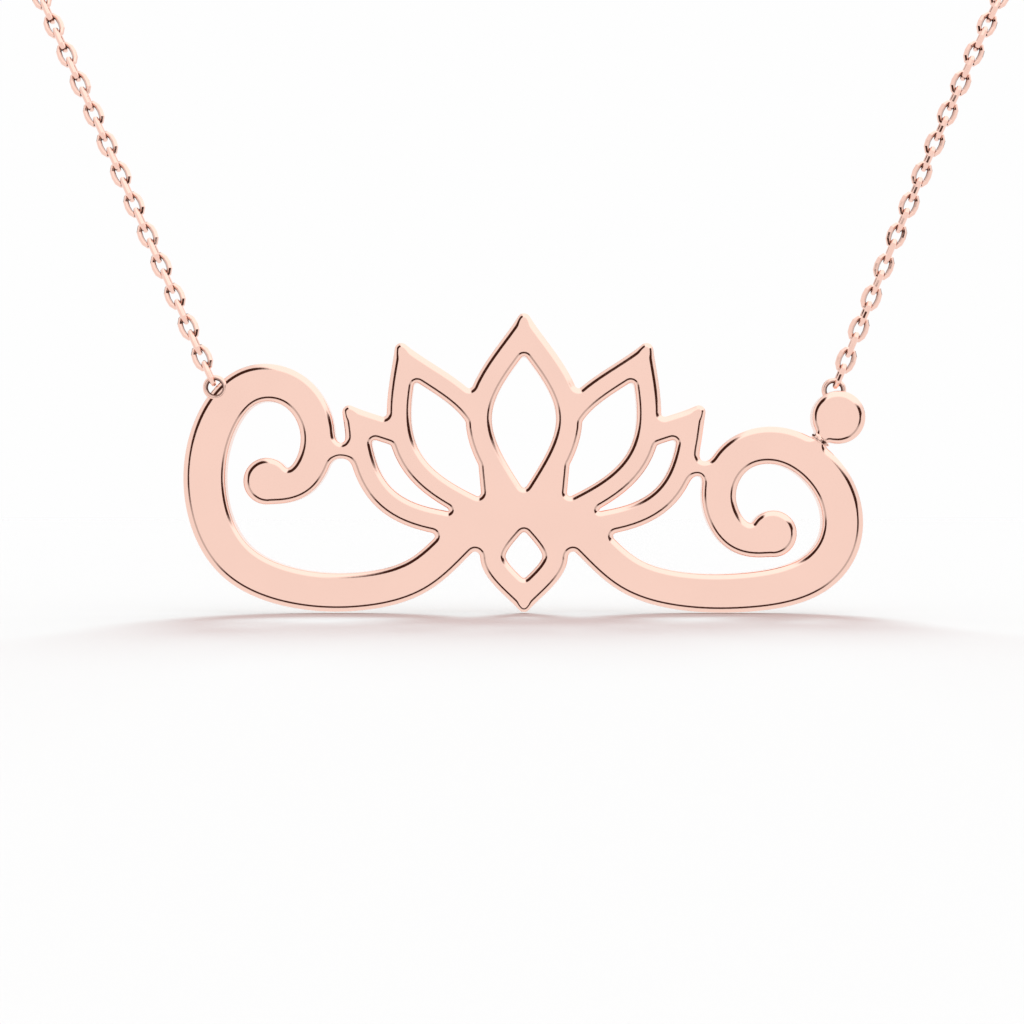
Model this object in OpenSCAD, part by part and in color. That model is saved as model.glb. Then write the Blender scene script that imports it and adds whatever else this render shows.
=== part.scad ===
// A fine chain necklace in polished rose gold, in its worn form: a flat openwork plate hangs at the
// throat between two halves of a cable chain, which meet in a ring clasp at the nape.
// +Z is up, the plate's face looks along -Y, and the origin is the point of the nape that the clasp lies on.

/* [Plate] */
// Thickness of the cut sheet
plate_thickness = 1.2; // [0.8:0.1:1.6]
// Distance from the nape forward to the middle of the sheet
plate_forward = 108; // [106:1:110]
// Drop from the nape to the middle of the plate's height
plate_drop = 102; // [100:1:104]
// Radius of the round disc that carries the right eyelet
disc_r = 1.36; // [1.2:0.02:1.4]
// Radius of the balls that end the two scrolls
ball_r = 1.2; // [1:0.05:1.25]
// Radius of the rounded leaf tips
tip_r = 0.35; // [0.2:0.05:0.5]
// Thickness of the small bars between the leaves and the scrolls
bar_w = 0.8; // [0.6:0.1:1]

/* [Eyelets] */
// Radius of an eyelet, from its centre to the middle of its wire
eyelet_r = 0.5; // [0.45:0.01:0.55]
// Diameter of the eyelet wire
eyelet_wire = 0.27; // [0.24:0.01:0.3]
// How far the left eyelet stands proud of the plate's face
eyelet_proud = 0.05; // [0.02:0.01:0.1]

/* [Chain] */
// Outside width of a link, and so the diameter of the tube that the links fill
link_width = 1.03; // [0.9:0.01:1.1]
// Clearance between a chain tube's end and the ring that its last link hooks
hook_gap = 0.15; // [0.1:0.05:0.3]

/* [Clasp] */
// Radius of the ring clasp, from its centre to the middle of its wire
clasp_r = 2.3; // [2:0.1:2.6]
// Diameter of the clasp's wire
clasp_wire = 1; // [0.8:0.1:1.1]
// Radius of the clasp's two eyes, from the centre to the middle of the wire
eye_r = 0.55; // [0.5:0.05:0.65]
// Diameter of the wire of the clasp's eyes
eye_wire = 0.34; // [0.3:0.02:0.4]

/* [Hidden] */

rose_gold = [0.97, 0.80, 0.75];
round_fn = 64;

// The plate's own drawing has x to the right and z up from the middle of its box, in millimetres.
X = 0;
Z = 1;
WIDTH = 2;
curve_steps = 10;
leaf_steps = 30;
// Power that moves a leaf's widest place from its middle, at 1, towards its tip
leaf_fullness = 1.12;
// Power that draws a leaf's ends out, from plain round sides at 1 to hollow ones
leaf_taper = 1.3;

// Control points of the stem from the middle of the plate to the start of a scroll: x, z, stroke width
stem = [
    [0, -2.2, 1.9],
    [1.5, -2.4, 1.9],
    [3.2, -3.7, 1.9],
    [5.2, -6.0, 1.9],
    [8.2, -6.73, 1.95]];
// Control points of the left scroll, from the stem to its ball, as if it lay on the right
left_scroll = [
    [11.6, -6.67, 2.0],
    [15.0, -5.45, 2.1],
    [16.5, -2.4, 2.15],
    [16.45, 1.15, 2.15],
    [14.6, 4.35, 2.0],
    [11.6, 4.1, 1.85],
    [10.2, 1.5, 1.75],
    [11.2, -1.2, 1.7],
    [13.1, -1.3, 1.68]];
// Control points of the right scroll, which lies lower and leaves room for the disc
right_scroll = [
    [11.4, -6.75, 2.0],
    [14.8, -6.2, 2.1],
    [16.6, -4.1, 2.1],
    [16.25, -1.1, 2.05],
    [13.7, 1.15, 1.95],
    [10.8, 0.8, 1.85],
    [9.6, -1.7, 1.75],
    [10.8, -4.1, 1.7],
    [12.7, -4.0, 1.68]];
// The ball of each scroll bulges to the inside of its turn: x, z
left_ball = [-13.2, -0.95];
right_ball = [12.8, -3.65];
disc_at = [16.16, 2.33];
left_eyelet_at = [-15.83, 3.85];
right_eyelet_at = [15.97, 3.74];

// The leaves, from the back one to the front one
BASE_X = 0;
BASE_Z = 1;
TIP_X = 2;
TIP_Z = 3;
BEND = 4;
LEAF_WIDTH = 5;
RIM = 6;
leaves = [
    [1.1, -4.3, 9.5, 3.3, -1.2, 4.5, 1.25],
    [-1.1, -4.3, -9.5, 3.3, 1.2, 4.5, 1.25],
    [0.2, -4.4, 6.6, 6.6, -1.1, 5.3, 1.25],
    [-0.2, -4.4, -6.6, 6.6, 1.1, 5.3, 1.25],
    [0, -4.6, 0, 8.11, 0, 6.0, 1.35],
    [0, -1.2, 0, -7.92, 0, 4.5, 1.3]];
// The bars that tie the leaves to the scrolls, and the solder neck that holds the disc
FROM = 0;
TO = 1;
bars = [
    [[-8.3, 0.5], [-10.2, 0.7]],
    [[8.1, -0.2], [10.0, -0.4]],
    [[15.6, 1.7], [14.8, 0.6]]];

// Routes of the two chain halves as x, y, z from the nape, from the plate's eyelet to the clasp's eye.
// The first stretch hangs at the plate's depth, and the rest takes the plain way round the neck.
left_route = [
    [-20.9, -107.5, -87],
    [-24.7, -106.5, -78.8],
    [-29.3, -103.8, -69.3],
    [-34.8, -99.6, -59.6],
    [-41, -93.4, -50.2],
    [-47.3, -85.2, -41.4],
    [-52.9, -75.3, -33.4],
    [-57.8, -63.9, -26.4],
    [-60.6, -51.5, -20.4],
    [-60.6, -38.5, -15.2],
    [-57.2, -26.2, -10.8],
    [-50.2, -15.8, -7],
    [-40.4, -8.2, -4],
    [-29.1, -2.7, -1.8],
    [-16.9, -0.2, -0.5]];
right_route = [
    [20.7, -107.2, -86.9],
    [24.4, -106.3, -78.7],
    [29.2, -103.7, -69.2],
    [34.8, -99.6, -59.6],
    [41, -93.4, -50.2],
    [47.3, -85.2, -41.4],
    [52.9, -75.3, -33.4],
    [57.8, -63.9, -26.4],
    [60.6, -51.5, -20.4],
    [60.6, -38.5, -15.2],
    [57.2, -26.2, -10.8],
    [50.2, -15.8, -7],
    [40.4, -8.2, -4],
    [29.1, -2.7, -1.8],
    [16.9, -0.2, -0.5]];
rings_per_half = 40;
tube_sides = 8;

plate_at = [0, -plate_forward, -plate_drop];
clasp_at = [0, clasp_wire / 2, 0];
eye_x = clasp_r + clasp_wire / 2 + eye_r - eye_wire / 4;
left_eyelet_depth = -plate_thickness / 2 - eyelet_proud + eyelet_wire / 2;

// One point of a cubic B-spline over four control rows
function spline_row(a, b, c, d, t) =
    (pow(1 - t, 3) * a + (3 * pow(t, 3) - 6 * pow(t, 2) + 4) * b
     + (-3 * pow(t, 3) + 3 * pow(t, 2) + 3 * t + 1) * c + pow(t, 3) * d) / 6;

// A stroke's control rows with both ends repeated, so that its curve starts and stops on them
function held_ends(rows) = let (first = rows[0], last = rows[len(rows) - 1])
    concat([first, first], rows, [last, last]);

function stroke_line(rows) = let (held = held_ends(rows))
    concat([for (i = [0 : len(held) - 4], s = [0 : curve_steps - 1])
                spline_row(held[i], held[i + 1], held[i + 2], held[i + 3], s / curve_steps)],
           [rows[len(rows) - 1]]);

function mirrored(rows) = [for (r = rows) [-r[X], r[Z], r[WIDTH]]];

// Unit vector to the left of the way from p to q, in the plate's drawing
function left_of(p, q) = let (way = q - p) [-way[Z], way[X]] / norm(way);

function normals_of(line) = let (n = len(line))
    [for (i = [0 : n - 1]) left_of(line[max(i - 1, 0)], line[min(i + 1, n - 1)])];

// A cut stroke of changing width along a curve, as a row of four-cornered pieces that share their ends
module stroke(rows) {
    line = stroke_line(rows);
    middle = [for (p = line) [p[X], p[Z]]];
    aside = [for (i = [0 : len(line) - 1]) normals_of(middle)[i] * line[i][WIDTH] / 2];
    for (i = [0 : len(line) - 2])
        polygon([middle[i] + aside[i], middle[i + 1] + aside[i + 1],
                 middle[i + 1] - aside[i + 1], middle[i] - aside[i]]);
}

// A pointed leaf along a bent midrib
module leaf_blade(leaf) {
    base = [leaf[BASE_X], leaf[BASE_Z]];
    tip = [leaf[TIP_X], leaf[TIP_Z]];
    bend_at = (base + tip) / 2 + leaf[BEND] * left_of(base, tip);
    steps = [for (i = [0 : leaf_steps]) i / leaf_steps];
    midrib = [for (t = steps) pow(1 - t, 2) * base + 2 * t * (1 - t) * bend_at + pow(t, 2) * tip];
    normals = normals_of(midrib);
    half_widths = [for (t = steps) leaf[LEAF_WIDTH] / 2 * pow(sin(180 * pow(t, leaf_fullness)), leaf_taper)];
    aside = [for (i = [0 : leaf_steps]) normals[i] * half_widths[i]];
    polygon(concat([for (i = [0 : leaf_steps]) midrib[i] + aside[i]],
                   [for (i = [leaf_steps : -1 : 0]) midrib[i] - aside[i]]));
}

module leaf_outside(leaf) {
    offset(r = tip_r, $fn = round_fn) offset(delta = -tip_r) leaf_blade(leaf);
}

module leaf_hole(leaf) {
    offset(delta = -leaf[RIM]) leaf_outside(leaf);
}

// Each leaf's rim lies over the leaves before it in the table and under the ones after it
module leaf_rims() {
    last = len(leaves) - 1;
    for (i = [0 : last]) difference() {
        leaf_outside(leaves[i]);
        for (j = [i : last]) leaf_hole(leaves[j]);
    }
}

module stem_and_scrolls() {
    difference() {
        union() {
            stroke(concat(stem, right_scroll));
            stroke(concat(mirrored(stem), mirrored(left_scroll)));
        }
        for (leaf = leaves) leaf_hole(leaf);
    }
    translate(left_ball) circle(r = ball_r, $fn = round_fn);
    translate(right_ball) circle(r = ball_r, $fn = round_fn);
}

module tie_bars() {
    for (bar = bars) {
        aside = left_of(bar[FROM], bar[TO]) * bar_w / 2;
        polygon([bar[FROM] + aside, bar[TO] + aside, bar[TO] - aside, bar[FROM] - aside]);
    }
}

// The whole cut outline as one face
module plate_outline() {
    offset(delta = 0) {
        stem_and_scrolls();
        leaf_rims();
        tie_bars();
        translate(disc_at) circle(r = disc_r, $fn = round_fn);
    }
}

// A wire ring that lies in the plane of the plate
module wire_ring(r, wire) {
    rotate([90, 0, 0]) rotate_extrude($fn = round_fn) translate([r, 0]) circle(d = wire, $fn = round_fn);
}

module nameplate() {
    color(rose_gold) translate(plate_at) {
        translate([0, plate_thickness / 2, 0]) rotate([90, 0, 0])
            linear_extrude(height = plate_thickness) plate_outline();
        translate([left_eyelet_at[X], left_eyelet_depth, left_eyelet_at[Z]]) wire_ring(eyelet_r, eyelet_wire);
        translate([right_eyelet_at[X], 0, right_eyelet_at[Z]]) wire_ring(eyelet_r, eyelet_wire);
    }
}

// The point at a distance from a towards b
function towards(a, b, distance) = a + (b - a) / norm(b - a) * distance;

// A route with its two end points added, each just clear of the ring that the chain hooks there
function hooked(route, eyelet_at, eye_at) = let (last = route[len(route) - 1])
    concat([towards(eyelet_at, route[0], eyelet_r + eyelet_wire / 2 + hook_gap)], route,
           [towards(eye_at, last, eye_r + eye_wire / 2 + hook_gap)]);

// A point of the smooth curve through all the points of a route, u running from 0 to its last index
function on_route(route, u) = let (
        last = len(route) - 1,
        i = min(floor(u), last - 1),
        t = u - i,
        a = route[max(i - 1, 0)],
        b = route[i],
        c = route[i + 1],
        d = route[min(i + 2, last)])
    0.5 * ((2 * b) + (c - a) * t + (2 * a - 5 * b + 4 * c - d) * pow(t, 2)
           + (3 * b - a - 3 * c + d) * pow(t, 3));

// A plain tube round the smooth curve through a route
module chain_tube(route) {
    last = len(route) - 1;
    middles = [for (i = [0 : rings_per_half - 1]) on_route(route, last * i / (rings_per_half - 1))];
    tangents = [for (i = [0 : rings_per_half - 1])
        let (way = middles[min(i + 1, rings_per_half - 1)] - middles[max(i - 1, 0)]) way / norm(way)];
    sides = [for (t = tangents) let (s = cross(t, [0, 0, 1])) s / norm(s)];
    points = [for (i = [0 : rings_per_half - 1], k = [0 : tube_sides - 1])
        let (angle = 360 * k / tube_sides, up = cross(sides[i], tangents[i]))
        middles[i] + link_width / 2 * (cos(angle) * sides[i] + sin(angle) * up)];
    walls = [for (i = [0 : rings_per_half - 2], k = [0 : tube_sides - 1], half = [0, 1])
        let (a = i * tube_sides + k, b = i * tube_sides + (k + 1) % tube_sides)
        half == 0 ? [a, b, b + tube_sides] : [a, b + tube_sides, a + tube_sides]];
    start_cap = [for (k = [tube_sides - 1 : -1 : 0]) k];
    end_cap = [for (k = [0 : tube_sides - 1]) (rings_per_half - 1) * tube_sides + k];
    polyhedron(points = points, faces = concat(walls, [start_cap, end_cap]), convexity = 6);
}

module chain_left() {
    eyelet = plate_at + [left_eyelet_at[X], left_eyelet_depth, left_eyelet_at[Z]];
    color(rose_gold) chain_tube(hooked(left_route, eyelet, clasp_at - [eye_x, 0, 0]));
}

module chain_right() {
    eyelet = plate_at + [right_eyelet_at[X], 0, right_eyelet_at[Z]];
    color(rose_gold) chain_tube(hooked(right_route, eyelet, clasp_at + [eye_x, 0, 0]));
}

module clasp() {
    color(rose_gold) translate(clasp_at) {
        wire_ring(clasp_r, clasp_wire);
        for (side = [-1, 1]) translate([side * eye_x, 0, 0]) wire_ring(eye_r, eye_wire);
    }
}

nameplate();
chain_left();
chain_right();
clasp();
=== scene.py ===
# A fine cable chain necklace with a flat openwork plate, polished rose gold, in its worn form.
# Sizes are in millimetres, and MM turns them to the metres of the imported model's frame. In it the nape is at
# the origin and the plate's face looks along -Y.
import math

import bmesh
import bpy
import numpy as np
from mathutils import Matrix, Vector, geometry, noise


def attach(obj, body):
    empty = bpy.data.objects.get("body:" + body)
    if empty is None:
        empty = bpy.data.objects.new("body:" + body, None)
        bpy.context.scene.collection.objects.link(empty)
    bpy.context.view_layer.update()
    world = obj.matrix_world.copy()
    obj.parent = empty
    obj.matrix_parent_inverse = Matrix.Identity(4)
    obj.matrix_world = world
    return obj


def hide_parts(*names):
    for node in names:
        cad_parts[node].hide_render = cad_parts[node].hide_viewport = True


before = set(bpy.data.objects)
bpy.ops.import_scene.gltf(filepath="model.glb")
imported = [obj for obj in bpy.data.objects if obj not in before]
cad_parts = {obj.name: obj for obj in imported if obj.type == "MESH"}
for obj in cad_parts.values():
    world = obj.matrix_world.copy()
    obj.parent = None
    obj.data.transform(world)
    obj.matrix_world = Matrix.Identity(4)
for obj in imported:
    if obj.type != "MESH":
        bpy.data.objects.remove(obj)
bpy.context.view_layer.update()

# ---------------------------------------------------------------------------------------------------------
# The view: level with the plate and square to its face, from as near as the photograph was taken. A long
# lens gives its perspective, and the chain halves leave the picture at its two top corners.
MM = 0.001
camera_data = bpy.data.cameras.new("camera")
camera_data.lens = 70
camera_data.sensor_width = 36
camera_data.clip_start = 5 * MM
camera = bpy.data.objects.new("camera", camera_data)
camera.location = Vector((-0.615, -210.6, -104.536)) * MM
camera.rotation_euler = (math.radians(90), 0, 0)
bpy.context.scene.collection.objects.link(camera)
bpy.context.scene.camera = camera
bpy.context.scene.view_settings.view_transform = "Standard"


# ---------------------------------------------------------------------------------------------------------
# The studio: white paper under the necklace, and soft white light from all sides. Polished metal shows its
# shape only by what it mirrors, so a ring of dark flags stands round the lens, open above where a brighter
# white box hangs, and the same ring stands behind for the plate's back.
class Wire:
    """An output in a node tree. An expression on wires and numbers adds the Math nodes that work it out"""

    def __init__(self, tree, node, output=0):
        self.tree = tree
        self.node = node
        self.socket = node.outputs[output] if len(node.outputs) else None

    def output(self, name):
        return Wire(self.tree, self.node, name)

    def math(self, operation, *inputs):
        return add(self.tree, "ShaderNodeMath", {"operation": operation}, dict(enumerate(inputs)))

    def __add__(self, other):
        return self.math("ADD", self, other)

    def __sub__(self, other):
        return self.math("SUBTRACT", self, other)

    def __rsub__(self, other):
        return self.math("SUBTRACT", other, self)

    def __mul__(self, other):
        return self.math("MULTIPLY", self, other)

    def __truediv__(self, other):
        return self.math("DIVIDE", self, other)

    def __pow__(self, other):
        return self.math("POWER", self, other)

    def __abs__(self):
        return self.math("ABSOLUTE", self)

    __radd__ = __add__
    __rmul__ = __mul__

    def rise(self, low, high):
        """0 below low, 1 above high, and a smooth step between them"""
        return add(self.tree, "ShaderNodeMapRange", {"interpolation_type": "SMOOTHSTEP"},
                   {"Value": self, "From Min": low, "From Max": high})

    def between(self, low, high, edge):
        """1 from low to high and 0 outside, with soft edges"""
        return self.rise(low - edge, low + edge) * (1 - self.rise(high - edge, high + edge))


def add(tree, kind, settings=None, inputs=None, output=0):
    """A node of any kind: its settings first, then the values or wires of its sockets"""
    node = tree.nodes.new(kind)
    for name, value in (settings or {}).items():
        setattr(node, name, value)
    for name, value in (inputs or {}).items():
        if isinstance(value, Wire):
            tree.links.new(value.socket, node.inputs[name])
        else:
            node.inputs[name].default_value = value
    return Wire(tree, node, output)


def new_tree(owner):
    owner.use_nodes = True
    owner.node_tree.nodes.clear()
    return owner.node_tree


PAPER_Z = -109.76 * MM
PAPER_HALF = 1200 * MM
SKY_ON_PAPER = 1.154
SHADE = (0.75, 0.63, 0.62)
BACK_LIGHT_HEIGHT = math.radians(30)
BACK_LIGHT_SPREAD = math.radians(24)
SEEN_WHITE = 0.9913
BOX_LIGHT = 1.34
FLAG_COLOUR = (0.05, 0.018, 0.011, 1)
FILL_ON_FLAG = 0.6

# Angles in degrees. The starts and ends are off the line of sight. The spans go round it, counted from the
# right and over the top, and the last number of each is the softness of its edges. Fill light weakens the
# flags in its spans, and in the wider spans they reach further out.
DEGREES = 180 / math.pi
FLAG_STARTS = (18.5, 20.5)
FLAG_ENDS = (29, 33)
WIDER_BY = 7
BOX_STARTS = (14, 22)
BOX_SPAN = (28, 105, 6)
FILL_SPANS = ((-175, -148, 6), (-40, -8, 6))
WIDER_SPANS = ((108, 165, 10), (8, 26, 5))

world = bpy.data.worlds.new("studio")
bpy.context.scene.world = world
tree = new_tree(world)
way = add(tree, "ShaderNodeSeparateXYZ", inputs={0: add(tree, "ShaderNodeTexCoord", output="Generated")})
x, y, z = way.output(0), way.output(1), way.output(2)
off_axis = y.math("ARCCOSINE", abs(y)) * DEGREES
turn = x.math("ARCTAN2", z, x) * DEGREES
box = turn.between(*BOX_SPAN)
fill = sum(turn.between(*span) for span in FILL_SPANS)
wider = sum(turn.between(*span) for span in WIDER_SPANS)
seen = add(tree, "ShaderNodeLightPath").output("Is Camera Ray")
flag = off_axis.rise(*FLAG_STARTS) * (1 - (off_axis - wider * WIDER_BY).rise(*FLAG_ENDS))
flag = flag * (1 - fill * FILL_ON_FLAG) * (1 - box) * (1 - seen)
light = 1 + box * off_axis.rise(*BOX_STARTS) * (BOX_LIGHT - 1)
colour = add(tree, "ShaderNodeMix", {"data_type": "RGBA"}, {
    "Factor": flag, 6: (1, 1, 1, 1), 7: FLAG_COLOUR}, output=2)
add(tree, "ShaderNodeOutputWorld", inputs={"Surface": add(tree, "ShaderNodeBackground", inputs={
    "Color": colour, "Strength": light * (1 - seen) + seen * SEEN_WHITE})})

paper_mesh = bpy.data.meshes.new("paper")
paper_corners = ((-1, -1), (1, -1), (1, 1), (-1, 1))
paper_mesh.from_pydata([(u * PAPER_HALF, v * PAPER_HALF, PAPER_Z) for u, v in paper_corners],
                       [], [(0, 1, 2, 3)])
paper = bpy.data.objects.new("paper", paper_mesh)
bpy.context.scene.collection.objects.link(paper)
paper_finish = bpy.data.materials.new("white_paper")
tree = new_tree(paper_finish)
paper_colour = [shade / SKY_ON_PAPER for shade in SHADE]
add(tree, "ShaderNodeOutputMaterial", inputs={"Surface": add(
    tree, "ShaderNodeBsdfDiffuse", inputs={"Color": (*paper_colour, 1)})})
paper_mesh.materials.append(paper_finish)
paper.visible_glossy = False

# A soft lamp behind, low over the paper, lays the plate's shadow towards the lens and shows in no metal.
lamp_data = bpy.data.lights.new("back_light", "SUN")
missing = [SEEN_WHITE / tone - SKY_ON_PAPER for tone in paper_colour]
lamp_data.energy = max(missing) * math.pi / math.sin(BACK_LIGHT_HEIGHT)
lamp_data.color = [part / max(missing) for part in missing]
lamp_data.angle = BACK_LIGHT_SPREAD
lamp = bpy.data.objects.new("back_light", lamp_data)
lamp.rotation_euler = (BACK_LIGHT_HEIGHT - math.pi / 2, 0, 0)
lamp.visible_glossy = False
bpy.context.scene.collection.objects.link(lamp)

# ---------------------------------------------------------------------------------------------------------
# The plate: a 1.2 mm rose gold sheet, sawn out to its outline, its crotches eased with a fine file and both
# its rims rolled over on the polishing wheel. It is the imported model's outline with those edges worked on.
SHEET = 1.2
PLATE_GOLD = (0.945, 0.644, 0.546)
CORNER_TURN = math.radians(22)
CROTCH_R = 0.17
BAR_CROTCH_R = 0.55
TIP_R = 0.36
BAR_JOINS = ((-8.95, 0.55), (-9.8, 0.65), (8.75, -0.3), (9.4, -0.35))
BAR_REACH = 0.75
LONGEST_CUT = 0.48
FINE = 0.01
SMOOTHING = 0.05
POINT_GAP = 0.085
POINT_TURN = math.radians(8)
TURN_WINDOW = 7
ROLL_TILTS = [math.radians(a) for a in (0, 4, 8, 12, 16, 21, 35, 52, 70, 90)]
ROLL_TURN = math.radians(21)
ROLL_WIDE_R = 0.9
ROLL_TIGHT_R = 0.14
ROLL_ROOM = 0.85
ROOM_STEP = 6
ROOM_WINDOW = 20
ROOM_BLUR = 16
SAME = 1e-7


def cut_outlines(node):
    """The closed outlines of the sheet's back face, x and z in millimetres, metal on the left of the way"""
    cut = bmesh.new()
    cut.from_mesh(node.data)
    bmesh.ops.remove_doubles(cut, verts=cut.verts, dist=SAME)
    back_y = max(v.co.y for v in cut.verts)
    back = [f for f in cut.faces if all(abs(v.co.y - back_y) < SAME for v in f.verts)]
    back_faces = set(back)
    before = {}
    for face in back:
        for corner in face.loops:
            if not any(other in back_faces for other in corner.edge.link_faces if other is not face):
                before[corner.link_loop_next.vert] = corner.vert
    outlines = []
    while before:
        start = vert = next(iter(before))
        outline = []
        while vert in before:
            outline.append((vert.co.x / MM, vert.co.z / MM))
            vert = before.pop(vert)
        assert vert is start
        outlines.append(np.array(outline))
    cut.free()
    return outlines


def turns_of(points):
    """How far the way turns to the left at each point of a closed line"""
    ahead = np.roll(points, -1, 0) - points
    behind = points - np.roll(points, 1, 0)
    cross = behind[:, 0] * ahead[:, 1] - behind[:, 1] * ahead[:, 0]
    return np.arctan2(cross, (behind * ahead).sum(1))


def lengths_along(points):
    """The length of an open line from its start to each of its points"""
    return np.concatenate([[0], np.cumsum(np.linalg.norm(np.diff(points, axis=0), axis=1))])


def evenly(points, count, start=0, end=None):
    """Evenly spaced points of an open line, over the whole of it or from one length along it to another"""
    along = lengths_along(points)
    where = np.linspace(start, along[-1] if end is None else end, count)
    return np.stack([np.interp(where, along, axis) for axis in points.T], 1)


def bent_through(points):
    """A smooth line through all the points of an open line, at about the fine spacing"""
    padded = np.vstack([2 * points[0] - points[1], points, 2 * points[-1] - points[-2]])
    line = []
    for p0, p1, p2, p3 in zip(padded, padded[1:], padded[2:], padded[3:]):
        t1, t2, t3 = np.cumsum([max(np.linalg.norm(b - a), 1e-6) ** 0.5
                                for a, b in ((p0, p1), (p1, p2), (p2, p3))])
        steps = max(2, math.ceil(np.linalg.norm(p2 - p1) / FINE))
        t = np.linspace(t1, t2, steps, endpoint=False)[:, None]
        a1 = p0 * (t1 - t) / t1 + p1 * t / t1
        a2 = (p1 * (t2 - t) + p2 * (t - t1)) / (t2 - t1)
        a3 = (p2 * (t3 - t) + p3 * (t - t2)) / (t3 - t2)
        b1 = a1 * (t2 - t) / t2 + a2 * t / t2
        b2 = (a2 * (t3 - t) + a3 * (t - t1)) / (t3 - t1)
        line.append((b1 * (t2 - t) + b2 * (t - t1)) / (t2 - t1))
    return np.vstack(line + [points[-1:]])


def wrapped(values, reach):
    """The values round a closed line, with a few more at each end from its other end"""
    return np.concatenate([values[-reach:], values, values[:reach]])


def eased_outline(points, middle):
    """An outline with its facets smoothed away and a small round in each sharp corner"""
    turn = turns_of(points)
    corners = np.flatnonzero(np.abs(turn) > CORNER_TURN)
    if len(corners) == 0:
        line = bent_through(np.vstack([points, points[:1]]))[:-1]
    else:
        runs, cuts = [], []
        for first, last in zip(corners, np.roll(corners, -1)):
            ids = np.arange(first, last + (0 if last > first else len(points)) + 1) % len(points)
            runs.append(bent_through(points[ids]))
        for c in corners:
            radius = TIP_R if turn[c] > 0 else CROTCH_R
            if any(np.linalg.norm(points[c] - middle - join) < BAR_REACH for join in BAR_JOINS):
                radius = BAR_CROTCH_R
            cuts.append(radius * math.tan(abs(turn[c]) / 2))
        trimmed = []
        for i, run in enumerate(runs):
            length = lengths_along(run)[-1]
            longest = LONGEST_CUT * length
            start, end = min(cuts[i], longest), length - min(cuts[(i + 1) % len(cuts)], longest)
            trimmed.append(evenly(run, max(4, int((end - start) / FINE)), start, end))
        parts = []
        for i, run in enumerate(trimmed):
            parts.append(run)
            ahead = trimmed[(i + 1) % len(trimmed)]
            way_in, way_out = run[-1] - run[-4], ahead[3] - ahead[0]
            way_in, way_out = way_in / np.linalg.norm(way_in), way_out / np.linalg.norm(way_out)
            chord = np.linalg.norm(ahead[0] - run[-1])
            angle = math.acos(max(-1.0, min(1.0, float(way_in @ way_out))))
            handle = chord / (3 * math.cos(angle / 4) ** 2)
            t = np.linspace(0, 1, max(8, int(chord / FINE)) + 2)[1:-1, None]
            parts.append((1 - t) ** 3 * run[-1] + 3 * t * (1 - t) ** 2 * (run[-1] + handle * way_in)
                         + 3 * t ** 2 * (1 - t) * (ahead[0] - handle * way_out) + t ** 3 * ahead[0])
        line = np.vstack(parts)
    line = np.vstack([line, line[:1]])
    line = evenly(line, int(lengths_along(line)[-1] / FINE))[:-1]
    reach = int(4 * SMOOTHING / FINE)
    weights = np.exp(-0.5 * (np.arange(-reach, reach + 1) * FINE / SMOOTHING) ** 2)
    weights /= weights.sum()
    return np.stack([np.convolve(axis, weights, "valid") for axis in wrapped(line, reach).T], 1)


def outward_ways(line):
    """Unit ways out of the metal at each point of a closed line"""
    step = np.roll(line, -1, 0) - np.roll(line, 1, 0)
    step /= np.linalg.norm(step, axis=1)[:, None]
    return np.stack([step[:, 1], -step[:, 0]], 1)


def rooms_inward(line, cut_edges):
    """At each point of a line, the radius of the largest circle in the metal that touches the edge there"""
    some = np.arange(0, len(line), ROOM_STEP)
    outward = outward_ways(line)
    rooms = []
    for spot, way in zip(line[some], outward[some]):
        apart = cut_edges - spot
        inward = -(apart @ way)
        met = inward > 1e-4
        rooms.append(((apart[met] ** 2).sum(1) / (2 * inward[met])).min())
    return np.interp(np.arange(len(line)), some, rooms)


def chosen_points(line, cut_edges):
    """Points of a fine outline, closer together where it turns, with their outward ways and how far a rim
    can be rolled in there"""
    outward = outward_ways(line)
    window = 2 * TURN_WINDOW + 1
    turn = np.convolve(wrapped(turns_of(line), TURN_WINDOW), np.ones(window), "valid")
    share = np.minimum(1, ROLL_ROOM * rooms_inward(line, cut_edges) / rim_profile([0])[0][0])
    around = wrapped(share, ROOM_WINDOW)
    share = np.min([around[i:i + len(share)] for i in range(2 * ROOM_WINDOW + 1)], axis=0)
    soft = np.hanning(2 * ROOM_BLUR + 1)
    share = np.convolve(wrapped(share, ROOM_BLUR), soft / soft.sum(), "valid")
    weight = FINE / POINT_GAP + np.abs(turn) / window / POINT_TURN
    along = np.cumsum(weight)
    count = math.ceil(along[-1])
    ids = np.unique(np.searchsorted(along, np.arange(count) * along[-1] / count))
    return line[ids], outward[ids], share[ids]


def rim_profile(tilts):
    """Inset, depth and tilt of each ring of a rolled rim, from the flat of the face to the sheet's wall"""
    width = ROLL_WIDE_R * math.sin(ROLL_TURN) + ROLL_TIGHT_R * (1 - math.sin(ROLL_TURN))
    rows = []
    for tilt in tilts:
        first = min(tilt, ROLL_TURN)
        across = ROLL_WIDE_R * math.sin(first) + ROLL_TIGHT_R * (math.sin(tilt) - math.sin(first))
        depth = ROLL_WIDE_R * (1 - math.cos(first)) + ROLL_TIGHT_R * (math.cos(first) - math.cos(tilt))
        rows.append((width - across, depth, tilt))
    return rows


def new_piece(name, verts, faces, normals, finish):
    """A finished smooth piece from its mesh in place, with its worked-out normals where it has them"""
    mesh = bpy.data.meshes.new(name)
    mesh.from_pydata([tuple(v) for v in verts], [], faces)
    mesh.validate()
    mesh.polygons.foreach_set("use_smooth", [True] * len(mesh.polygons))
    if normals is not None:
        mesh.normals_split_custom_set_from_vertices([tuple(n) for n in normals])
    mesh.materials.append(finish)
    piece = bpy.data.objects.new(name, mesh)
    bpy.context.scene.collection.objects.link(piece)
    return piece


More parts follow.
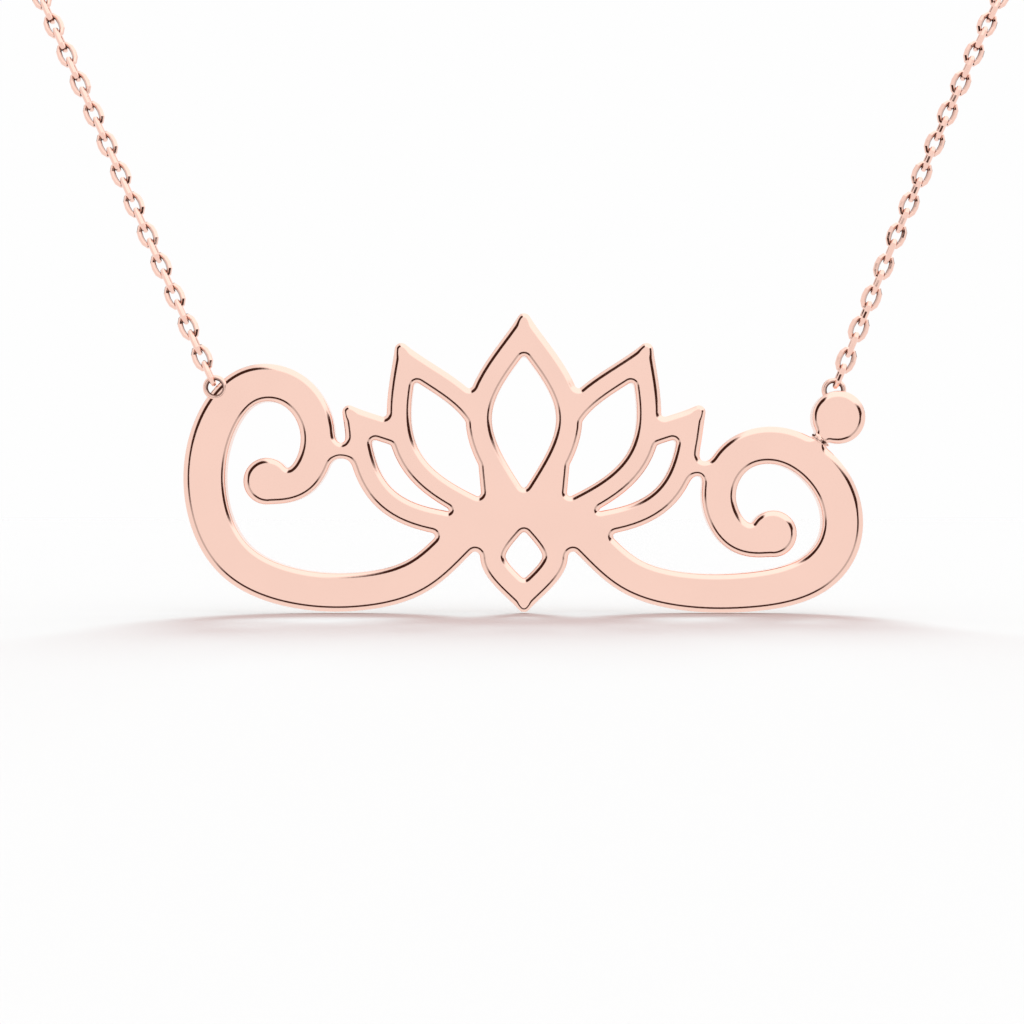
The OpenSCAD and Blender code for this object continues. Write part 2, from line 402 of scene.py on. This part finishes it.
TONE_SCALE = 260.0
TONE_DIP = 0.985
SMEAR_SCALE = 900.0
SMEAR_ROUGH = 0.03
SWIRL_SCALE = 9000.0
SWIRL_ROUGH = 0.015
WALL_ROUGH = 0.1
# Painted shade: the dark brown that creases are coloured, in place of contact shadow and dark reflections
# there.
CREASE_SHADE_COLOUR = (0.055, 0.015, 0.009, 1)
CREASE_ROUGH = 0.12


def rose_gold(name, colour, polish, wall=None, crease_shaded=False):
    """Polished rose gold: faint differences of tone, a trace of smears, and the fine swirls of the buff. The
    sheet's sawn wall stays duller round its middle, and creases are painted dark brown as shade"""
    finish = bpy.data.materials.new(name)
    tree = new_tree(finish)
    place = add(tree, "ShaderNodeTexCoord", output="Object")
    tone = add(tree, "ShaderNodeTexNoise", inputs={"Vector": place, "Scale": TONE_SCALE, "Detail": 2.0})
    smears = add(tree, "ShaderNodeTexNoise", inputs={
        "Vector": place, "Scale": SMEAR_SCALE, "Detail": 4.0, "Roughness": 0.6, "Distortion": 1.5})
    swirls = add(tree, "ShaderNodeTexNoise", inputs={"Vector": place, "Scale": SWIRL_SCALE, "Detail": 3.0})
    base = add(tree, "ShaderNodeMix", {"data_type": "RGBA"}, {
        "Factor": tone.rise(0.35, 0.65), 6: (*[c * TONE_DIP for c in colour], 1), 7: (*colour, 1)}, output=2)
    rough = polish + smears.rise(0.45, 0.75) * SMEAR_ROUGH + swirls * SWIRL_ROUGH
    # Painted shade: the creases' mask turns the colour dark brown there.
    if crease_shaded:
        crease_shade = add(tree, "ShaderNodeAttribute", {"attribute_name": "crease_shade"}, output="Fac")
        base = add(tree, "ShaderNodeMix", {"data_type": "RGBA"}, {
            "Factor": crease_shade * (0.85 + tone * 0.3), 6: base, 7: CREASE_SHADE_COLOUR}, output=2)
        rough = rough + crease_shade * CREASE_ROUGH
    if wall is not None:
        depth = abs(add(tree, "ShaderNodeSeparateXYZ", inputs={0: place}).output(1) - wall)
        rough = rough + (1 - depth.rise(SHEET / 6 * MM, SHEET / 3 * MM)) * WALL_ROUGH
    bump = add(tree, "ShaderNodeBump", inputs={"Strength": 0.05, "Distance": 0.01 * MM, "Height": swirls})
    add(tree, "ShaderNodeOutputMaterial", inputs={"Surface": add(tree, "ShaderNodeBsdfPrincipled", inputs={
        "Base Color": base, "Roughness": rough, "Metallic": 1.0, "Normal": bump})})
    return finish


packed_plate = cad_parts["nameplate"]
outlines = cut_outlines(packed_plate)
sheet_back = max(v.co.y for v in packed_plate.data.vertices) / MM
sheet_front = sheet_back - SHEET
outer = max(outlines, key=lambda line: np.ptp(line[:, 0]))
middle = (outer.min(0) + outer.max(0)) / 2
plate_finish = rose_gold("plate_rose_gold", PLATE_GOLD, 0.05, wall=(sheet_front + SHEET / 2) * MM)

rim = rim_profile(ROLL_TILTS)
verts, normals, faces = [], [], []
front_loops, back_loops = [], []
lines = [eased_outline(outline, middle) for outline in outlines]
cut_edges = np.vstack([line[::ROOM_STEP] for line in lines])
for line in lines:
    points, outward, share = chosen_points(line, cut_edges)
    count = len(points)
    first = len(verts)
    rings = [(inset, sheet_front + depth, tilt, -1) for inset, depth, tilt in rim]
    rings += [(inset, sheet_back - depth, tilt, 1) for inset, depth, tilt in reversed(rim)]
    for inset, at_y, tilt, side in rings:
        ring = points - outward * (inset * share)[:, None]
        verts += [(px * MM, at_y * MM, pz * MM) for px, pz in ring]
        normals += [(ox * math.sin(tilt), side * math.cos(tilt), oz * math.sin(tilt)) for ox, oz in outward]
    for r in range(len(rings) - 1):
        here, ahead = first + r * count, first + (r + 1) * count
        faces += [(here + i, ahead + i, ahead + (i + 1) % count, here + (i + 1) % count)
                  for i in range(count)]
    front_loops.append(list(range(first, first + count)))
    back_loops.append(list(range(first + (len(rings) - 1) * count, first + len(rings) * count)))
for loops, side in ((front_loops, 1), (back_loops, -1)):
    ids = [i for loop in loops for i in loop]
    flat = [[Vector((verts[i][0], verts[i][2], 0)) for i in loop] for loop in loops]
    for a, b, c in geometry.tessellate_polygon(flat):
        a, b, c = ids[a], ids[b], ids[c]
        (ax, _, az), (bx, _, bz), (cx, _, cz) = verts[a], verts[b], verts[c]
        area = (bx - ax) * (cz - az) - (bz - az) * (cx - ax)
        if area:
            faces.append((a, b, c) if area * side > 0 else (a, c, b))
plate = new_piece("plate", verts, faces, normals, plate_finish)
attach(plate, "root")
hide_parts("nameplate")

# ---------------------------------------------------------------------------------------------------------
# The two eyelets: rings of round rose gold wire, soldered to the plate's upper edges. The left one lies
# sunk in the plate's face, and the right one stands at mid thickness behind the disc's rim.
WIRE_GOLD = (0.935, 0.625, 0.53)
EYELET_R = 0.5
EYELET_WIRE = 0.27
# How far round the wire's inner side the painted shade reaches.
EYELET_CREASE_SHADE = (0.1, 0.6)
LEFT_EYELET = (-15.83, -108.515, -98.15)
RIGHT_EYELET = (15.97, -108.0, -98.26)


def share_between(value, low, high):
    """0 below low, 1 above high, and rising evenly between them"""
    return min(1.0, max(0.0, (value - low) / (high - low)))


def wire_ring(centre, ring_r, wire_r, around, across):
    """A wire ring about a line along Y: vertices, normals, faces, and how much painted shade each vertex takes
    on the ring's inner side
    """
    ring_verts, ring_normals, ring_faces, crease_shades = [], [], [], []
    for i in range(around):
        turn = 2 * math.pi * i / around
        for j in range(across):
            lean = 2 * math.pi * j / across
            out = math.cos(lean)
            normal = Vector((math.cos(turn) * out, math.sin(lean), math.sin(turn) * out))
            spot = Vector(centre) + Vector((math.cos(turn), 0, math.sin(turn))) * ring_r + normal * wire_r
            ring_verts.append(spot * MM)
            ring_normals.append(normal)
            # Painted shade: the inner side of the ring is darkened.
            crease_shades.append(share_between(-out, *EYELET_CREASE_SHADE))
            a, b = i * across, (i + 1) % around * across
            k = (j + 1) % across
            ring_faces.append((a + j, a + k, b + k, b + j))
    return ring_verts, ring_normals, ring_faces, crease_shades


wire_finish = rose_gold("wire_rose_gold", WIRE_GOLD, 0.06, crease_shaded=True)
for name, centre in (("eyelet_left", LEFT_EYELET), ("eyelet_right", RIGHT_EYELET)):
    verts, normals, faces, crease_shades = wire_ring(centre, EYELET_R, EYELET_WIRE / 2, around=56, across=16)
    eyelet = new_piece(name, verts, faces, normals, wire_finish)
    eyelet.data.attributes.new("crease_shade", "FLOAT", "POINT").data.foreach_set("value", crease_shades)
    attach(eyelet, "root")

# ---------------------------------------------------------------------------------------------------------
# The solder seam: a thin lumpy ridge of solder across the neck that joins the round disc to the right scroll.
# It is dressed with a file and polished over, and its hollows are darkened brown with painted shade.
SEAM_AT = (15.14, -100.8)
SEAM_LEAN = math.radians(-36)
SEAM_SIZE = (0.5, 0.07, 0.16)
SEAM_ROWS = 26
SEAM_ACROSS = 18
LUMP_SCALE = 5.5
LUMP_HEIGHT = 0.4
# The lump depths over which the painted shade in the hollows rises.
HOLLOW_SHADE = (-1 / 30, 0.3)

seam_along = Vector((math.cos(SEAM_LEAN), 0, math.sin(SEAM_LEAN))) * SEAM_SIZE[0]
seam_deep = Vector((0, SEAM_SIZE[1], 0))
seam_across = Vector((-math.sin(SEAM_LEAN), 0, math.cos(SEAM_LEAN))) * SEAM_SIZE[2]
seam_middle = Vector((SEAM_AT[0], sheet_front, SEAM_AT[1]))
verts, faces, crease_shades = [], [], []
for i in range(SEAM_ROWS):
    slope = math.pi * (i + 0.5) / SEAM_ROWS
    for j in range(SEAM_ACROSS):
        lean = 2 * math.pi * j / SEAM_ACROSS
        spot = seam_along * math.cos(slope) + math.sin(slope) * (
            seam_across * math.cos(lean) + seam_deep * math.sin(lean))
        lump = noise.noise((spot + seam_middle) * LUMP_SCALE)
        verts.append((spot * (1 + LUMP_HEIGHT * lump) + seam_middle) * MM)
        # Painted shade: the hollows between the lumps are darkened.
        crease_shades.append(share_between(-lump, *HOLLOW_SHADE))
        if i:
            a, b, k = (i - 1) * SEAM_ACROSS, i * SEAM_ACROSS, (j + 1) % SEAM_ACROSS
            faces.append((a + j, a + k, b + k, b + j))
faces.append(tuple(reversed(range(SEAM_ACROSS))))
faces.append(tuple(range(len(verts) - SEAM_ACROSS, len(verts))))
seam = new_piece("solder_seam", verts, faces, None, wire_finish)
seam.data.attributes.new("crease_shade", "FLOAT", "POINT").data.foreach_set("value", crease_shades)
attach(seam, "root")

# ---------------------------------------------------------------------------------------------------------
# The chain: two halves of soldered oval links, each a quarter turn from the last, of rose gold wire cut with
# eight bright flats. The first link of each half hooks an eyelet, and the last one hooks the clasp's eye.
LINK_LENGTH = 1.465
LINK_WIDTH = 1.03
LINK_WIRE = 0.29
WIRE_FLATS = 8
LINK_SIDES = 12
LINK_FULLNESS = 2.35
LINKS = 233
SLACK_TURN = math.radians(2)
SLACK_SEED = 7
EYE_R = 0.55
EYE_WIRE = 0.34
EYE_X = 3.265
CLASP_Y = 0.5
ROUTE_STEPS = 48
NECK_Y = -50
FRONT_TOP = -80
SIDE_FOOT = -50
SIDE_ROUTE = [
    (-34.8, -99.6, -59.6), (-41, -93.4, -50.2), (-47.3, -85.2, -41.4), (-52.9, -75.3, -33.4),
    (-57.8, -63.9, -26.4), (-60.6, -51.5, -20.4), (-60.6, -38.5, -15.2), (-57.2, -26.2, -10.8),
    (-50.2, -15.8, -7), (-40.4, -8.2, -4), (-29.1, -2.7, -1.8), (-16.9, -0.2, -0.5)]
LEFT_ROUTE = [(-20.9, -107.5, -87), (-24.7, -106.5, -78.8), (-29.3, -103.8, -69.3)] + SIDE_ROUTE
RIGHT_ROUTE = [(20.7, -107.2, -86.9), (24.4, -106.3, -78.7), (29.2, -103.7, -69.2)] + [
    (-px, py, pz) for px, py, pz in SIDE_ROUTE]


def link_route(route, eyelet, eye):
    """The smooth line of the links' middles, from the one that hooks the eyelet to the one at the clasp"""
    rows = [np.array(row, float) for row in route]
    hooked = LINK_LENGTH / 2 - LINK_WIRE
    start, end = np.array(eyelet), np.array(eye)
    to_first, to_last = rows[0] - start, rows[-1] - end
    start = start + to_first / np.linalg.norm(to_first) * (EYELET_R - EYELET_WIRE / 2 + hooked)
    end = end + to_last / np.linalg.norm(to_last) * (EYE_R - EYE_WIRE / 2 + hooked)
    rows = [start, start, *rows, end, end]
    line = []
    for a, b, c, d in zip(rows, rows[1:], rows[2:], rows[3:]):
        t = np.linspace(0, 1, ROUTE_STEPS, endpoint=False)[:, None]
        line.append(0.5 * (2 * b + (c - a) * t + (2 * a - 5 * b + 4 * c - d) * t ** 2
                           + (3 * b - a - 3 * c + d) * t ** 3))
    return np.vstack(line + [end[None]])


def cable_chain_tree():
    """Geometry Nodes: oval wire links along a line, each a quarter turn from the last. Painted shade darkens
    the inside of the wire and the bends that the next links lie in"""
    group = bpy.data.node_groups.new("cable_chain", "GeometryNodeTree")
    face = group.interface
    face.new_socket("Geometry", in_out="INPUT", socket_type="NodeSocketGeometry")
    for name, kind in (("Links", "NodeSocketInt"), ("Link length", "NodeSocketFloat"),
                       ("Link width", "NodeSocketFloat"), ("Wire", "NodeSocketFloat"),
                       ("Slack turn", "NodeSocketFloat"), ("Metal", "NodeSocketMaterial")):
        face.new_socket(name, in_out="INPUT", socket_type=kind)
    face.new_socket("Geometry", in_out="OUTPUT", socket_type="NodeSocketGeometry")
    given = add(group, "NodeGroupInput", output="Geometry")
    line = add(group, "GeometryNodeMeshToCurve", inputs={0: given})
    line = add(group, "GeometryNodeResampleCurve", {"mode": "COUNT"},
               {"Curve": line, "Count": given.output("Links")})
    circle = add(group, "GeometryNodeCurvePrimitiveCircle", {"mode": "RADIUS"},
                 {"Resolution": LINK_SIDES, "Radius": 1.0})
    spot = add(group, "ShaderNodeSeparateXYZ", inputs={0: add(group, "GeometryNodeInputPosition")})
    round_out = (abs(spot.output(0)) ** LINK_FULLNESS
                 + abs(spot.output(1)) ** LINK_FULLNESS) ** (-1 / LINK_FULLNESS)
    half_long = (given.output("Link length") - given.output("Wire")) * 0.5
    half_wide = (given.output("Link width") - given.output("Wire")) * 0.5
    oval = add(group, "GeometryNodeSetPosition", inputs={
        "Geometry": circle, "Position": add(group, "ShaderNodeCombineXYZ", inputs={
            0: spot.output(0) * round_out * half_long, 1: spot.output(1) * round_out * half_wide})})
    section = add(group, "GeometryNodeCurvePrimitiveCircle", {"mode": "RADIUS"},
                  {"Resolution": WIRE_FLATS, "Radius": given.output("Wire") * 0.5})
    link = add(group, "GeometryNodeCurveToMesh", inputs={"Curve": oval, "Profile Curve": section})
    link = add(group, "GeometryNodeSetShadeSmooth", inputs={0: link, "Shade Smooth": False})
    from_middle = add(group, "ShaderNodeVectorMath", {"operation": "NORMALIZE"},
                      {0: add(group, "GeometryNodeInputPosition")})
    inner = add(group, "ShaderNodeVectorMath", {"operation": "DOT_PRODUCT"},
                {0: from_middle, 1: add(group, "GeometryNodeInputNormal")}, output="Value") * -1
    # Painted shade: the wire's inside and the bends where the next links hook in are darkened, as contact
    # shadow.
    bend = (abs(spot.output(0)) / half_long).rise(0.45, 0.95)
    crease_shade = (inner * 0.8 + bend * (0.35 + inner * 0.5)).rise(0.05, 0.65)
    link = add(group, "GeometryNodeStoreNamedAttribute", {"data_type": "FLOAT", "domain": "POINT"},
               {"Geometry": link, "Name": "crease_shade", "Value": crease_shade})
    along = add(group, "GeometryNodeInputTangent")
    outward = add(group, "GeometryNodeInputNamedAttribute", {"data_type": "FLOAT_VECTOR"},
                  {"Name": "outward"})
    aside = add(group, "ShaderNodeVectorMath", {"operation": "CROSS_PRODUCT"}, {0: along, 1: outward})
    index = add(group, "GeometryNodeInputIndex")
    every_other = index.math("MODULO", index, 2.0)
    facing = add(group, "ShaderNodeMix", {"data_type": "VECTOR"},
                 {"Factor": every_other, 4: aside, 5: outward}, output=1)
    slack = add(group, "FunctionNodeRandomValue", {"data_type": "FLOAT"}, {
        2: given.output("Slack turn") * -1, 3: given.output("Slack turn"), "Seed": SLACK_SEED}, output=1)
    facing = add(group, "ShaderNodeVectorRotate", {"rotation_type": "AXIS_ANGLE"},
                 {"Vector": facing, "Axis": along, "Angle": slack})
    turned = add(group, "FunctionNodeAxesToRotation", {"primary_axis": "X", "secondary_axis": "Z"},
                 {0: along, 1: facing})
    links = add(group, "GeometryNodeInstanceOnPoints",
                inputs={"Points": line, "Instance": link, "Rotation": turned})
    links = add(group, "GeometryNodeRealizeInstances", inputs={0: links})
    links = add(group, "GeometryNodeSetMaterial",
                inputs={"Geometry": links, "Material": given.output("Metal")})
    add(group, "NodeGroupOutput", inputs={0: links})
    return group


chain_tree = cable_chain_tree()
chain_finish = rose_gold("chain_rose_gold", WIRE_GOLD, 0.07, crease_shaded=True)
for name, node, route, eyelet, eye in (
        ("links_left", "chain_left", LEFT_ROUTE, LEFT_EYELET, (-EYE_X, CLASP_Y, 0)),
        ("links_right", "chain_right", RIGHT_ROUTE, RIGHT_EYELET, (EYE_X, CLASP_Y, 0))):
    line = link_route(route, eyelet, eye)
    line_mesh = bpy.data.meshes.new(name + "_line")
    line_mesh.from_pydata([tuple(p * MM) for p in line], [(i, i + 1) for i in range(len(line) - 1)], [])
    aside = np.clip((line[:, 2] - FRONT_TOP) / (SIDE_FOOT - FRONT_TOP), 0, 1)[:, None]
    from_neck = np.stack([line[:, 0], line[:, 1] - NECK_Y, 0 * line[:, 0]], 1)
    from_neck /= np.linalg.norm(from_neck, axis=1)[:, None]
    outward = from_neck * aside + np.array([0, -1, 0]) * (1 - aside)
    line_mesh.attributes.new("outward", "FLOAT_VECTOR", "POINT").data.foreach_set(
        "vector", outward.astype(np.float32).ravel())
    bearer = bpy.data.objects.new(name + "_line", line_mesh)
    bpy.context.scene.collection.objects.link(bearer)
    modifier = bearer.modifiers.new("links", "NODES")
    modifier.node_group = chain_tree
    given = {"Links": LINKS, "Link length": LINK_LENGTH * MM, "Link width": LINK_WIDTH * MM,
             "Wire": LINK_WIRE * MM, "Slack turn": SLACK_TURN, "Metal": chain_finish}
    for socket in chain_tree.interface.items_tree:
        if socket.in_out == "INPUT" and socket.name in given:
            modifier[socket.identifier] = given[socket.name]
    graph = bpy.context.evaluated_depsgraph_get()
    chain = bpy.data.objects.new(name, bpy.data.meshes.new_from_object(bearer.evaluated_get(graph)))
    bearer.modifiers.remove(modifier)
    bpy.data.objects.remove(bearer)
    bpy.context.scene.collection.objects.link(chain)
    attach(chain, "root")
    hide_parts(node)

# ---------------------------------------------------------------------------------------------------------
# The clasp: a ring of rose gold tube with a thinner sprung gate between two collars, a small thumb lever,
# and a soldered eye at each side for the last link of each half. It is closed, and it lies on the nape.
CLASP_R = 2.3
TUBE_R = 0.5
GATE_R = 0.37
COLLAR_R = 0.56
GATE = (112, 166)
COLLAR = 7
COLLAR_EDGE = 0.05
LEVER_AT = 84
LEVER_PROFILE = ((0.2, 0.3), (0.2, 0.72), (0.34, 0.8), (0.38, 0.88), (0.34, 0.98), (0.2, 1.04))


def swept_ring(rows, across):
    """A closed tube round the clasp's middle whose radius changes along it: rows of angle and radius"""
    ring_verts, ring_faces = [], []
    for i, (angle, radius) in enumerate(rows):
        turn = math.radians(angle)
        for j in range(across):
            lean = 2 * math.pi * j / across
            out = CLASP_R + radius * math.cos(lean)
            ring_verts.append(Vector((math.cos(turn) * out, CLASP_Y + radius * math.sin(lean),
                                      math.sin(turn) * out)) * MM)
            a, b, k = i * across, (i + 1) % len(rows) * across, (j + 1) % across
            ring_faces.append((a + j, a + k, b + k, b + j))
    return ring_verts, ring_faces


def turned_knob(profile, angle, around):
    """A turned knob that stands out from the clasp's ring: rows of radius and of distance past the tube's
    middle line"""
    turn = math.radians(angle)
    out, side = Vector((math.cos(turn), 0, math.sin(turn))), Vector((-math.sin(turn), 0, math.cos(turn)))
    knob_verts, knob_faces = [], []
    for i, (radius, height) in enumerate(profile):
        for j in range(around):
            lean = 2 * math.pi * j / around
            spot = (out * (CLASP_R + height) + side * (radius * math.cos(lean))
                    + Vector((0, radius * math.sin(lean), 0)))
            knob_verts.append((spot + Vector((0, CLASP_Y, 0))) * MM)
            if i:
                a, b, k = (i - 1) * around, i * around, (j + 1) % around
                knob_faces.append((a + j, b + j, b + k, a + k))
    knob_faces.append(tuple(range(around)))
    knob_faces.append(tuple(reversed(range(len(knob_verts) - around, len(knob_verts)))))
    return knob_verts, knob_faces


gate_start, gate_end = GATE
rows = [(gate_start - COLLAR - 1, TUBE_R), (gate_start - COLLAR, COLLAR_R), (gate_start - 1, COLLAR_R),
        (gate_start, COLLAR_R - COLLAR_EDGE), (gate_start + 0.01, GATE_R)]
rows += [(angle, GATE_R) for angle in range(gate_start + 6, gate_end - 3, 6)]
rows += [(gate_end - 0.01, GATE_R), (gate_end, COLLAR_R - COLLAR_EDGE), (gate_end + 1, COLLAR_R),
         (gate_end + COLLAR, COLLAR_R), (gate_end + COLLAR + 1, TUBE_R)]
rows += [(angle, TUBE_R) for angle in range(gate_end + COLLAR + 6, gate_start + 360 - COLLAR - 4, 5)]
parts = [swept_ring(rows, across=24)]
for side in (-1, 1):
    verts, _, faces, _ = wire_ring((side * EYE_X, CLASP_Y, 0), EYE_R, EYE_WIRE / 2, around=40, across=14)
    parts.append((verts, faces))
parts.append(turned_knob(LEVER_PROFILE, LEVER_AT, around=20))
verts, faces = [], []
for part_verts, part_faces in parts:
    faces += [tuple(i + len(verts) for i in face) for face in part_faces]
    verts += part_verts
clasp_finish = rose_gold("clasp_rose_gold", WIRE_GOLD, 0.08)
clasp = new_piece("ring_clasp", verts, faces, None, clasp_finish)
clasp.data.set_sharp_from_angle(angle=math.radians(40))
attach(clasp, "root")
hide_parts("clasp")
